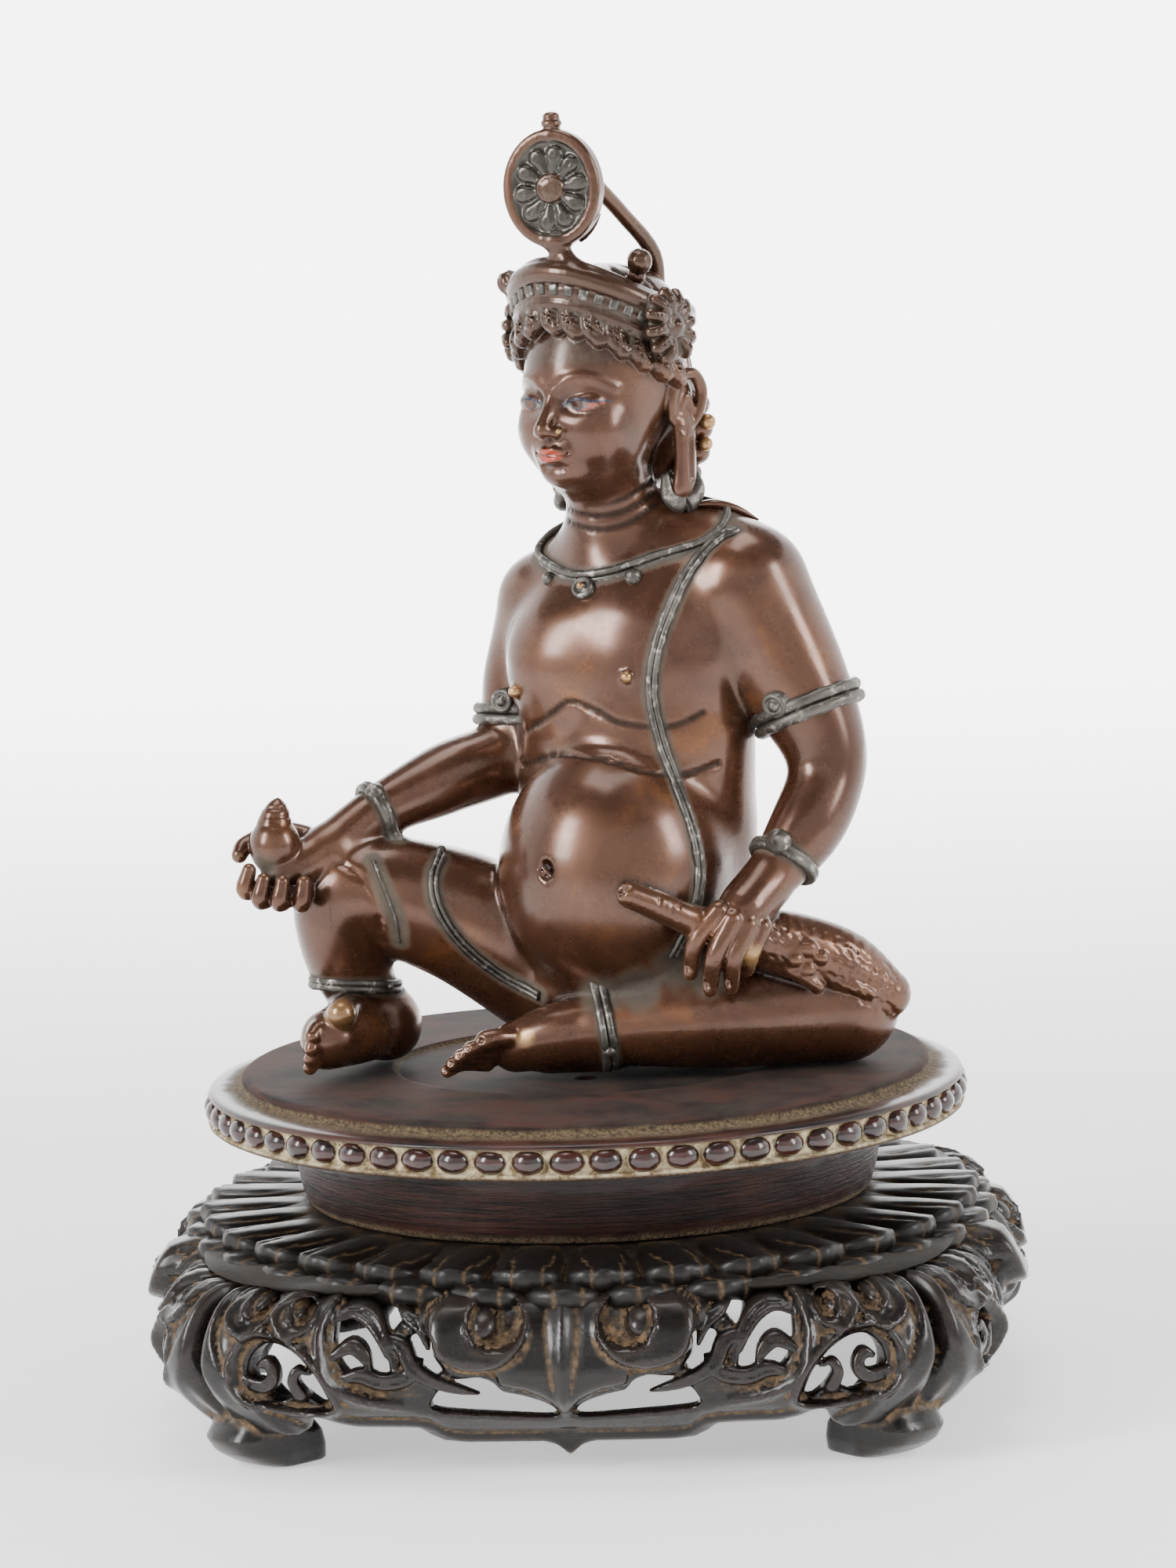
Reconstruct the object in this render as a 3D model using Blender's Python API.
# A seated bronze kubera on a turned disc and a pierced, four-footed carved base.
# Metres, +Z up. The origin is on the ground under the middle of the stand, and the
# middle of the base's front apron faces -Y.
import math

import bmesh
import bpy
from mathutils import Matrix, Vector

MM = 0.001

# Overall sizes
STAND_HEIGHT = 61.2 * MM
DISC_RADIUS = 63.2 * MM
BASE_HALF_WIDTH = 77.5 * MM
FIGURE_HEIGHT = 172.9 * MM

# Clearance between pieces that touch
FIT_GAP = 0.3 * MM

# Turned top
RIM_STEP = 6.4 * MM
RIM_RADIUS = DISC_RADIUS + RIM_STEP
RIM_BELOW_TOP = 3.0 * MM
BEAD_ROW_HEIGHT = 5.6 * MM
BEAD_COUNT = 64
BEAD_PROUD = 0.9 * MM
RECESS_RADIUS = 35.5 * MM
RECESS_DEPTH = 0.8 * MM
LOTUS_SETBACK = 10.5 * MM
LOTUS_RADIUS = BASE_HALF_WIDTH - LOTUS_SETBACK
LOTUS_WIDTH = 15.0 * MM
WAIST_TAPER = 3.0 * MM
WAIST_FOOT_RADIUS = LOTUS_RADIUS - LOTUS_WIDTH
WAIST_TOP_RADIUS = WAIST_FOOT_RADIUS + WAIST_TAPER
PEG_HOLE_RADIUS = 2.4 * MM
PEG_HOLE_DEPTH = 8.0 * MM
PEG_HOLE_SETBACK = 15.5 * MM

# Carved base
DECK_HEIGHT = 37.2 * MM
DECK_THICKNESS = 6.2 * MM
WALL = 7.0 * MM
PETAL_COUNT = 32
PETAL_PROUD = 1.2 * MM
LOTUS_EDGE = 2.6 * MM
SHOULDER_BELOW_DECK = 4.0 * MM
SQUARENESS = 4.4
FOOT_HALF_ANGLE = math.radians(5.5)
LEG_GROOVE = 4.0 * MM
LEG_GROOVE_HALF_ANGLE = math.radians(3.5)
RAIL_CLEARANCE = 5.0 * MM
STATIONS = 96

# The figure is modelled in millimetres of a casting this tall, seen from the front
# of the photograph, and then scaled and turned on to the stand.
DRAWN_HEIGHT = 173.2
FIGURE_TURN = math.radians(4.3)
WAX_VOXEL = 1.0 * MM
FIGURE_KEEP = 0.036
PEDESTAL_SPAN = 400.0 * MM


def clear_scene():
    for item in list(bpy.data.objects):
        bpy.data.objects.remove(item, do_unlink=True)


def make_material(name, colour, roughness, metallic):
    material = bpy.data.materials.new(name)
    material.use_nodes = True
    shader = material.node_tree.nodes["Principled BSDF"]
    shader.inputs["Base Color"].default_value = (*colour, 1.0)
    shader.inputs["Roughness"].default_value = roughness
    shader.inputs["Metallic"].default_value = metallic
    return material


def add_object(name, mesh_data, material):
    mesh = bpy.data.meshes.new(name)
    mesh_data.normal_update()
    mesh_data.to_mesh(mesh)
    mesh_data.free()
    piece = bpy.data.objects.new(name, mesh)
    bpy.context.scene.collection.objects.link(piece)
    mesh.materials.append(material)
    return piece


def add_cutter(name, mesh_data):
    mesh = bpy.data.meshes.new(name)
    bmesh.ops.recalc_face_normals(mesh_data, faces=mesh_data.faces)
    mesh_data.to_mesh(mesh)
    mesh_data.free()
    cutter = bpy.data.objects.new(name, mesh)
    bpy.context.scene.collection.objects.link(cutter)
    cutter.hide_render = True
    cutter.display_type = "WIRE"
    return cutter


def cut(piece, cutter):
    boolean = piece.modifiers.new("cut " + cutter.name, "BOOLEAN")
    boolean.operation = "DIFFERENCE"
    boolean.solver = "EXACT"
    boolean.object = cutter


def shade(piece, angle):
    piece.data.shade_smooth()
    piece.data.set_sharp_from_angle(angle=angle)


def ring_of_points(mesh_data, points):
    return [mesh_data.verts.new(point) for point in points]


def bridge(mesh_data, upper, lower):
    """Faces between two rings. One may have twice as many points as the other."""
    if len(upper) == len(lower):
        for i in range(len(upper)):
            j = (i + 1) % len(upper)
            mesh_data.faces.new((upper[i], lower[i], lower[j], upper[j]))
        return
    fine_is_lower = len(lower) > len(upper)
    coarse, fine = (upper, lower) if fine_is_lower else (lower, upper)
    for i in range(len(coarse)):
        here, after = coarse[i], coarse[(i + 1) % len(coarse)]
        left, middle = fine[2 * i], fine[2 * i + 1]
        right = fine[(2 * i + 2) % len(fine)]
        fan = [(here, left, middle), (here, middle, after), (after, middle, right)]
        for corners in fan:
            mesh_data.faces.new(corners if fine_is_lower else corners[::-1])


def close_ring(mesh_data, ring, centre, faces_up):
    hub = mesh_data.verts.new(centre)
    for i in range(len(ring)):
        j = (i + 1) % len(ring)
        corners = (ring[i], ring[j], hub) if faces_up else (ring[j], ring[i], hub)
        mesh_data.faces.new(corners)


# Turned top: a platform with a shallow round recess, a beaded rim and a tapering waist


def round_ring(mesh_data, radius, height, count, swell=0.0):
    """A ring at one height, whose every other point stands out by the swell."""
    points = []
    for i in range(count):
        angle = math.tau * i / count
        reach = radius + (swell if i % 2 else 0.0)
        points.append((reach * math.cos(angle), reach * math.sin(angle), height))
    return ring_of_points(mesh_data, points)


def make_stand_top(material):
    platform = STAND_HEIGHT
    recess_floor = platform - RECESS_DEPTH
    ledge = platform - RIM_BELOW_TOP
    rim_foot = ledge - BEAD_ROW_HEIGHT
    waist_foot = DECK_HEIGHT + FIT_GAP
    step_run = RIM_RADIUS - DISC_RADIUS
    data = bmesh.new()
    bead_back = RIM_RADIUS - 0.4 * BEAD_PROUD
    bead_margin = 0.2 * BEAD_ROW_HEIGHT
    halves = 2 * BEAD_COUNT
    rings = [
        round_ring(data, RECESS_RADIUS - RECESS_DEPTH, recess_floor, BEAD_COUNT),
        round_ring(data, RECESS_RADIUS, platform, BEAD_COUNT),
        round_ring(data, DISC_RADIUS, platform, BEAD_COUNT),
        round_ring(data, DISC_RADIUS + 0.15 * step_run, ledge + 0.4 * RIM_BELOW_TOP, BEAD_COUNT),
        round_ring(data, RIM_RADIUS - 0.25 * step_run, ledge, halves),
        round_ring(data, bead_back, ledge - bead_margin, halves, BEAD_PROUD),
        round_ring(data, bead_back, rim_foot + bead_margin, halves, BEAD_PROUD),
        round_ring(data, RIM_RADIUS - 0.3 * step_run, rim_foot, halves),
        round_ring(data, WAIST_TOP_RADIUS, rim_foot - 0.1 * BEAD_ROW_HEIGHT, BEAD_COUNT),
        round_ring(data, WAIST_FOOT_RADIUS, waist_foot, BEAD_COUNT),
    ]
    close_ring(data, rings[0], (0.0, 0.0, recess_floor), True)
    for upper, lower in zip(rings, rings[1:]):
        bridge(data, upper, lower)
    close_ring(data, rings[-1], (0.0, 0.0, waist_foot), False)
    bmesh.ops.recalc_face_normals(data, faces=data.faces)
    top = add_object("stand_top", data, material)

    drill = bmesh.new()
    hole_at = Matrix.Rotation(FIGURE_TURN, 4, "Z") @ Vector((0.0, -PEG_HOLE_SETBACK, recess_floor))
    bmesh.ops.create_cone(
        drill, cap_ends=True, segments=16, radius1=PEG_HOLE_RADIUS, radius2=PEG_HOLE_RADIUS,
        depth=2.0 * PEG_HOLE_DEPTH, matrix=Matrix.Translation(hole_at))
    cut(top, add_cutter("peg_drill", drill))
    shade(top, math.radians(40.0))
    return top


# Carved base: a hollow, rounded-square body with a round lotus top and four feet


def squircle(angle):
    """How much further a rounded square reaches along this angle than at a side's middle."""
    across = abs(math.cos(angle)) ** SQUARENESS + abs(math.sin(angle)) ** SQUARENESS
    return across ** (-1.0 / SQUARENESS)


def angle_from_panel(angle):
    """The angle from the middle of the nearest apron panel, up to an eighth of a turn."""
    quarter = math.tau / 4.0
    return abs((angle + quarter / 2.0) % quarter - quarter / 2.0)


def foot_share(angle):
    """1 over a foot, 0 along an apron, with a short slope between."""
    from_corner = math.tau / 8.0 - angle_from_panel(angle)
    slope = (FOOT_HALF_ANGLE * 1.35 - from_corner) / (FOOT_HALF_ANGLE * 0.5)
    return min(1.0, max(0.0, slope))


def corner_valley(angle):
    """1 along the groove that parts a leg's two flanks, 0 away from it."""
    from_corner = math.tau / 8.0 - angle_from_panel(angle)
    return max(0.0, 1.0 - from_corner / LEG_GROOVE_HALF_ANGLE)


def rail_height(angle):
    """The lower edge of an apron: a small point in its middle and a step near each leg."""
    lateral = BASE_HALF_WIDTH * squircle(angle) * math.sin(angle_from_panel(angle))
    point = max(0.0, 1.0 - lateral / (0.04 * BASE_HALF_WIDTH))
    step = 1.0 if lateral > 0.31 * BASE_HALF_WIDTH else 0.0
    return RAIL_CLEARANCE * (1.0 - 0.45 * point + 0.65 * step)


def petal_swell(angle):
    """0 at the groove between two lotus petals, 1 along a petal's middle."""
    return abs(math.sin(PETAL_COUNT * angle / 2.0)) ** 0.7


def base_ring(mesh_data, shape):
    points = []
    for i in range(STATIONS):
        angle = math.tau * i / STATIONS
        reach, height = shape(angle)
        points.append((reach * math.sin(angle), -reach * math.cos(angle), height))
    return ring_of_points(mesh_data, points)


def round_shape(radius, height, swell=0.0):
    def shape(angle):
        return radius + swell * petal_swell(angle), height
    return shape


def square_shape(inset, height, foot_inset=None, foot_height=None, groove=0.0):
    """A rounded-square ring, which may move to another inset and height over the feet."""
    def shape(angle):
        share = 0.0 if foot_inset is None else foot_share(angle)
        level = height(angle) if callable(height) else height
        back = inset if foot_inset is None else inset + share * (foot_inset - inset)
        low = level if foot_height is None else level + share * (foot_height - level)
        valley = groove * LEG_GROOVE * corner_valley(angle)
        return (BASE_HALF_WIDTH - back) * squircle(angle) - valley, low
    return shape


def make_base_body():
    lotus_edge = DECK_HEIGHT - 0.6 * MM
    shoulder = DECK_HEIGHT - SHOULDER_BELOW_DECK
    ceiling = DECK_HEIGHT - DECK_THICKNESS
    bulge = 0.6 * shoulder
    lower = 0.42 * shoulder
    rail_top = 0.28 * shoulder
    seat = WAIST_FOOT_RADIUS + 1.0 * MM
    shapes = [
        round_shape(seat, DECK_HEIGHT),
        round_shape(0.5 * (seat + LOTUS_RADIUS), DECK_HEIGHT + 0.4 * MM),
        round_shape(LOTUS_RADIUS - PETAL_PROUD, lotus_edge, PETAL_PROUD),
        round_shape(LOTUS_RADIUS - 1.3 * PETAL_PROUD, lotus_edge - LOTUS_EDGE, 0.7 * PETAL_PROUD),
        square_shape(9.0 * MM, shoulder, groove=0.5),
        square_shape(2.4 * MM, shoulder - 5.0 * MM, groove=1.0),
        square_shape(0.0, bulge, groove=1.0),
        square_shape(2.0 * MM, lower, groove=1.0),
        square_shape(6.6 * MM, rail_top, 7.6 * MM, 9.2 * MM),
        square_shape(9.6 * MM, lambda angle: rail_height(angle) + 1.4 * MM, 4.8 * MM, 5.4 * MM),
        square_shape(10.4 * MM, rail_height, 11.5 * MM, 0.0),
        square_shape(10.4 * MM + WALL, rail_height, 21.0 * MM, 0.0),
        square_shape(1.6 * MM + WALL, lower, 13.0 * MM, lower),
        square_shape(9.0 * MM + WALL, ceiling),
    ]
    data = bmesh.new()
    rings = [base_ring(data, shape) for shape in shapes]
    close_ring(data, rings[0], (0.0, 0.0, DECK_HEIGHT), True)
    for upper, below in zip(rings, rings[1:]):
        bridge(data, upper, below)
    close_ring(data, rings[-1], (0.0, 0.0, ceiling), False)
    bmesh.ops.recalc_face_normals(data, faces=data.faces)
    return data


# The pierced openings of half an apron panel: corners as shares of the base's half
# width sideways and of the shoulder's height upwards, from the panel's middle line.
OPENINGS = {
    "under_cloud": [(0.033, 0.35), (0.033, 0.44), (0.08, 0.50), (0.13, 0.54), (0.15, 0.60),
                    (0.20, 0.61), (0.25, 0.55), (0.29, 0.45), (0.27, 0.39), (0.14, 0.36)],
    "beside_cloud": [(0.29, 0.79), (0.32, 0.79), (0.36, 0.70), (0.35, 0.65), (0.30, 0.59),
                     (0.26, 0.64), (0.285, 0.70)],
    "leaf_hollow": [(0.37, 0.92), (0.46, 0.95), (0.51, 0.84), (0.51, 0.71), (0.48, 0.58),
                    (0.42, 0.52), (0.38, 0.56), (0.40, 0.70), (0.38, 0.82)],
    "leg_comma": [(0.55, 0.48), (0.57, 0.60), (0.62, 0.71), (0.67, 0.735), (0.71, 0.68),
                  (0.715, 0.58), (0.685, 0.52), (0.645, 0.58), (0.60, 0.52)],
}


def make_opening_cutters():
    shoulder = DECK_HEIGHT - SHOULDER_BELOW_DECK
    outer = 1.3 * BASE_HALF_WIDTH
    inner = 0.72 * BASE_HALF_WIDTH
    data = bmesh.new()
    for panel in range(4):
        turn = Matrix.Rotation(math.tau * panel / 4.0, 3, "Z")
        for side in (-1.0, 1.0):
            for outline in OPENINGS.values():
                flat = [(side * x * BASE_HALF_WIDTH, z * shoulder) for x, z in outline]
                near = ring_of_points(data, [turn @ Vector((x, -outer, z)) for x, z in flat])
                far = ring_of_points(data, [turn @ Vector((x, -inner, z)) for x, z in flat])
                bridge(data, near, far)
                data.faces.new(near)
                data.faces.new(far)
    return add_cutter("apron_openings", data)


def make_stand_base(material):
    base = add_object("stand_base", make_base_body(), material)
    cut(base, make_opening_cutters())
    shade(base, math.radians(40.0))
    return base


# The figure, built up in wax from rounded limbs and then cast as one piece


class Wax:
    """One mesh of overlapping closed shapes, placed in drawn millimetres."""

    def __init__(self):
        self.data = bmesh.new()
        scale = FIGURE_HEIGHT / DRAWN_HEIGHT
        seat = Vector((0.0, 0.0, STAND_HEIGHT + FIT_GAP))
        turn = Matrix.Rotation(FIGURE_TURN, 4, "Z")
        self.place = Matrix.Translation(seat) @ turn @ Matrix.Scale(scale, 4)

    def limb(self, start, end, start_radius, end_radius):
        start, end = Vector(start), Vector(end)
        along = end - start
        aim = along.to_track_quat("Z", "Y").to_matrix().to_4x4()
        matrix = self.place @ Matrix.Translation((start + end) / 2.0) @ aim
        bmesh.ops.create_cone(
            self.data, cap_ends=True, segments=20, radius1=start_radius, radius2=end_radius,
            depth=along.length, matrix=matrix)
        self.round_end(start, start_radius)
        self.round_end(end, end_radius)

    def round_end(self, centre, radius):
        matrix = self.place @ Matrix.Translation(Vector(centre))
        bmesh.ops.create_icosphere(self.data, subdivisions=2, radius=radius, matrix=matrix)

    def blob(self, centre, radii, turn=None):
        matrix = self.place @ Matrix.Translation(Vector(centre)) @ (turn or Matrix.Identity(4))
        matrix = matrix @ Matrix.Diagonal((*radii, 1.0))
        bmesh.ops.create_icosphere(self.data, subdivisions=3, radius=1.0, matrix=matrix)

    def chain(self, points, radii):
        for i in range(len(points) - 1):
            self.limb(points[i], points[i + 1], radii[i], radii[i + 1])

    def hoop(self, centre, axis, radius, thickness, steps=20):
        aim = Vector(axis).to_track_quat("Z", "Y").to_matrix()
        points = []
        for i in range(steps + 1):
            angle = math.tau * i / steps
            spoke = aim @ Vector((radius * math.cos(angle), radius * math.sin(angle), 0.0))
            points.append(Vector(centre) + spoke)
        self.chain(points, [thickness] * len(points))

    def plate(self, centre, radii, depth, turn):
        """A flat oval plate that stands upright and faces -Y before its turn."""
        upright = Matrix.Rotation(math.radians(90.0), 4, "X")
        matrix = self.place @ Matrix.Translation(Vector(centre)) @ turn @ upright
        matrix = matrix @ Matrix.Diagonal((radii[0], radii[1], 1.0, 1.0))
        bmesh.ops.create_cone(
            self.data, cap_ends=True, segments=24, radius1=1.0, radius2=1.0, depth=depth, matrix=matrix)


def about_z(degrees):
    return Matrix.Rotation(math.radians(degrees), 4, "Z")


TORSO_TURN = -30.0
HEAD_TURN = -27.0

# Centre and radii of the rounded masses of the trunk
TRUNK = [
    ((10.0, 1.0, 15.0), (28.0, 21.0, 14.8)),
    ((7.0, -8.5, 36.0), (21.6, 21.5, 24.0)),
    ((11.5, 1.5, 44.0), (22.5, 16.5, 32.0)),
    ((12.0, 1.0, 64.0), (21.5, 16.0, 24.0)),
    ((11.5, 0.5, 76.0), (22.5, 15.0, 17.0)),
]


def front_of_trunk(x, z):
    """The nearest Y of the trunk's skin at this place across and up."""
    turn = math.radians(TORSO_TURN)
    nearest = None
    for (cx, cy, cz), (rx, ry, rz) in TRUNK:
        room = 1.0 - ((z - cz) / rz) ** 2
        side, back = math.cos(turn), math.sin(turn)
        # Along Y the ellipsoid is a*y*y + b*y + c = room
        a = (back / rx) ** 2 + (side / ry) ** 2
        b = 2.0 * (x - cx) * side * back * (1.0 / rx ** 2 - 1.0 / ry ** 2)
        c = (x - cx) ** 2 * ((side / rx) ** 2 + (back / ry) ** 2) - room
        inside = b * b - 4.0 * a * c
        if inside > 0.0:
            y = cy + (-b - math.sqrt(inside)) / (2.0 * a)
            nearest = y if nearest is None else min(nearest, y)
    return nearest


def model_trunk(wax):
    for centre, radii in TRUNK:
        wax.blob(centre, radii, about_z(TORSO_TURN))
    wax.chain([(-3.5, 12.5, 84.0), (12.0, 3.5, 88.0), (31.0, -5.0, 87.5)], [8.6, 9.5, 10.5])
    wax.chain([(2.0, 9.5, 90.0), (11.0, 5.5, 95.5), (26.0, -1.5, 93.0)], [6.0, 8.0, 7.6])
    wax.limb((9.5, 3.0, 90.0), (6.5, 1.0, 106.0), 8.4, 7.4)


def model_head(wax):
    turn = about_z(HEAD_TURN)
    wax.blob((6.5, 0.5, 125.5), (13.6, 16.0, 16.5), turn)
    wax.blob((2.6, -6.0, 115.0), (10.8, 9.5, 11.5), turn)
    wax.blob((14.0, 11.0, 122.0), (12.5, 8.5, 17.0), turn)
    wax.limb((-1.8, -14.2, 122.5), (-3.0, -17.0, 116.5), 1.3, 2.0)
    for ear in ((23.0, -0.5, 116.0), (-1.5, 12.0, 116.0)):
        lobe = (ear[0], ear[1], ear[2] - 11.0)
        ring = (ear[0] - 1.2, ear[1] - 0.6, ear[2] - 14.0)
        wax.chain([ear, lobe, ring], [2.8, 2.4, 2.8])


def model_crown(wax):
    def crown_point(angle, reach, drop):
        front = math.cos(angle)
        height = 138.5 + 7.5 * max(0.0, front) ** 1.5 - 2.0 * max(0.0, -front)
        side = reach * math.sin(angle)
        ahead = reach * front
        turned = about_z(HEAD_TURN) @ Vector((side, -ahead, 0.0))
        return Vector((6.6 + turned.x, 1.0 + turned.y, height - drop))

    steps = 32
    for reach, drop, thickness in ((16.3, 0.0, 2.5), (16.0, 5.0, 2.0)):
        points = [crown_point(math.tau * i / steps, reach, drop) for i in range(steps + 1)]
        wax.chain(points, [thickness] * len(points))
    wax.blob((9.5, 2.0, 137.0), (14.0, 14.5, 9.0))
    for rosette in ((24.5, -3.0, 133.0), (-9.0, 5.0, 132.0)):
        wax.blob(rosette, (3.6, 3.6, 6.2), about_z(HEAD_TURN))
    for knob in ((14.8, -8.5, 146.0), (-8.6, 1.5, 142.6)):
        wax.round_end(knob, 2.4)
    for i in range(7):
        angle = math.radians(-62.0 + 20.0 * i)
        wax.round_end(crown_point(angle, 15.2, 9.5), 2.3)


def model_finial(wax):
    wax.plate((-0.2, -11.0, 159.8), (9.0, 10.4), 3.4, about_z(-20.0))
    wax.limb((0.4, -10.5, 151.0), (3.0, -13.0, 145.5), 1.6, 2.4)
    wax.limb((-2.2, -11.0, 168.5), (-2.5, -11.0, 171.4), 1.3, 1.9)
    wax.chain([(6.5, -9.5, 161.0), (12.0, -3.0, 155.0), (17.5, 3.5, 147.5), (18.0, 6.0, 138.0)], [1.5] * 4)


def model_arms(wax):
    wax.chain(
        [(-3.8, 12.5, 83.0), (-8.5, 13.5, 70.0), (-12.0, 11.5, 56.5), (-24.0, 5.0, 52.0), (-37.0, -1.0, 46.8),
         (-45.5, -5.5, 41.0)],
        [9.0, 7.6, 6.8, 6.4, 4.8, 5.0])
    wax.chain(
        [(32.5, -6.0, 86.5), (39.8, -9.0, 71.0), (45.0, -11.0, 59.0), (45.3, -12.0, 53.0),
         (42.0, -16.0, 45.0), (35.5, -20.5, 36.5), (29.0, -25.5, 29.5)],
        [11.0, 9.6, 7.4, 6.8, 6.8, 5.2, 4.8])


def model_hands(wax):
    wax.round_end((-55.2, -9.0, 42.6), 4.4)
    wax.limb((-54.2, -8.5, 46.0), (-53.8, -8.0, 48.2), 2.2, 1.1)
    for i in range(4):
        base = Vector((-49.0 + 1.6 * i, -8.0 - 1.2 * i, 37.0 - 0.8 * i))
        tip = base + Vector((-7.5 + 1.8 * i, -2.0, -2.0 - 0.6 * i))
        wax.limb(base, tip, 1.9, 1.4)
    wax.limb((-50.0, -3.0, 42.0), (-59.5, -7.0, 41.0), 2.1, 1.4)
    for i in range(4):
        knuckle = Vector((24.5 + 2.6 * i, -27.5 + 1.0 * i, 30.5 - 1.0 * i))
        tip = knuckle + Vector((-3.0, -3.5, -9.5))
        wax.limb(knuckle, tip, 2.2, 1.6)


def model_legs(wax):
    wax.chain(
        [(-4.0, 4.0, 15.5), (-22.0, 1.0, 27.0), (-42.5, -3.5, 32.0), (-42.3, 0.0, 22.5), (-40.5, 3.0, 13.5)],
        [13.5, 12.0, 9.4, 8.2, 6.6])
    wax.chain([(-38.5, 6.0, 7.4), (-43.5, -5.5, 6.8), (-47.2, -12.0, 6.0)], [7.2, 6.2, 4.8])
    wax.chain(
        [(20.0, 4.0, 13.0), (46.6, -11.5, 10.2), (27.0, -16.5, 9.4), (3.0, -17.5, 8.0), (-11.0, -16.5, 5.4),
         (-21.5, -15.0, 2.6)],
        [13.0, 10.4, 9.4, 6.8, 5.4, 2.6])


def model_mongoose(wax):
    wax.chain(
        [(9.8, -31.5, 34.2), (20.5, -28.0, 29.0), (30.0, -21.0, 24.0), (41.0, -17.5, 20.5),
         (54.0, -15.5, 13.5)],
        [2.3, 2.5, 4.8, 5.8, 3.8])


def model_ornaments(wax):
    wax.hoop((11.5, 1.5, 95.0), (-0.17, -0.3, 0.94), 15.5, 1.3, 24)
    wax.hoop((-12.6, 12.2, 62.5), (-0.1, -0.15, -1.0), 7.2, 1.3)
    wax.hoop((43.0, -10.0, 64.5), (0.33, -0.16, -0.93), 8.5, 1.4)
    wax.hoop((-35.3, -0.2, 47.6), (-0.85, -0.4, -0.35), 5.3, 1.2)
    wax.hoop((36.6, -19.6, 38.2), (-0.5, -0.42, -0.76), 5.8, 1.2)
    wax.hoop((-40.8, 3.0, 14.4), (-0.1, -0.1, 1.0), 7.2, 1.2)
    wax.hoop((4.0, -17.5, 8.3), (1.0, 0.0, 0.1), 7.0, 1.1)
    wax.hoop((-23.5, 0.8, 27.7), (-0.95, -0.12, 0.3), 12.0, 0.9)
    across = [27.5, 23.0, 19.5, 15.8, 14.6, 16.2, 18.6, 21.0, 21.8, 20.0, 17.0]
    up = [97.0, 89.5, 84.0, 76.0, 69.0, 60.5, 53.0, 42.5, 35.5, 28.0, 21.5]
    points = []
    for x, z in zip(across, up):
        skin = front_of_trunk(x, min(z, 88.0))
        points.append((x, skin if skin is not None else -6.0, z))
    wax.chain(points, [1.1] * len(points))


def make_figure(material):
    wax = Wax()
    for model in (model_trunk, model_head, model_crown, model_finial, model_arms, model_hands, model_legs,
                  model_mongoose, model_ornaments):
        model(wax)
    figure = add_object("bronze_figure", wax.data, material)

    fuse = figure.modifiers.new("fuse", "REMESH")
    fuse.mode = "VOXEL"
    fuse.voxel_size = WAX_VOXEL
    smooth = figure.modifiers.new("smooth", "SMOOTH")
    smooth.factor = 0.5
    smooth.iterations = 3
    reduce = figure.modifiers.new("reduce", "DECIMATE")
    reduce.decimate_type = "COLLAPSE"
    reduce.ratio = FIGURE_KEEP

    seat = STAND_HEIGHT + FIT_GAP
    pedestal = bmesh.new()
    sunk = Matrix.Translation((0.0, 0.0, seat - PEDESTAL_SPAN / 2.0))
    bmesh.ops.create_cube(pedestal, size=PEDESTAL_SPAN, matrix=sunk)
    cut(figure, add_cutter("seat_plane", pedestal))
    shade(figure, math.radians(60.0))
    return figure


def main():
    clear_scene()
    bronze = make_material("patinated bronze", (0.16, 0.062, 0.035), 0.34, 0.75)
    rosewood = make_material("dark red hardwood", (0.075, 0.018, 0.012), 0.42, 0.0)
    blackwood = make_material("blackened carved wood", (0.022, 0.017, 0.014), 0.36, 0.0)
    make_stand_base(blackwood)
    make_stand_top(rosewood)
    make_figure(bronze)


main()
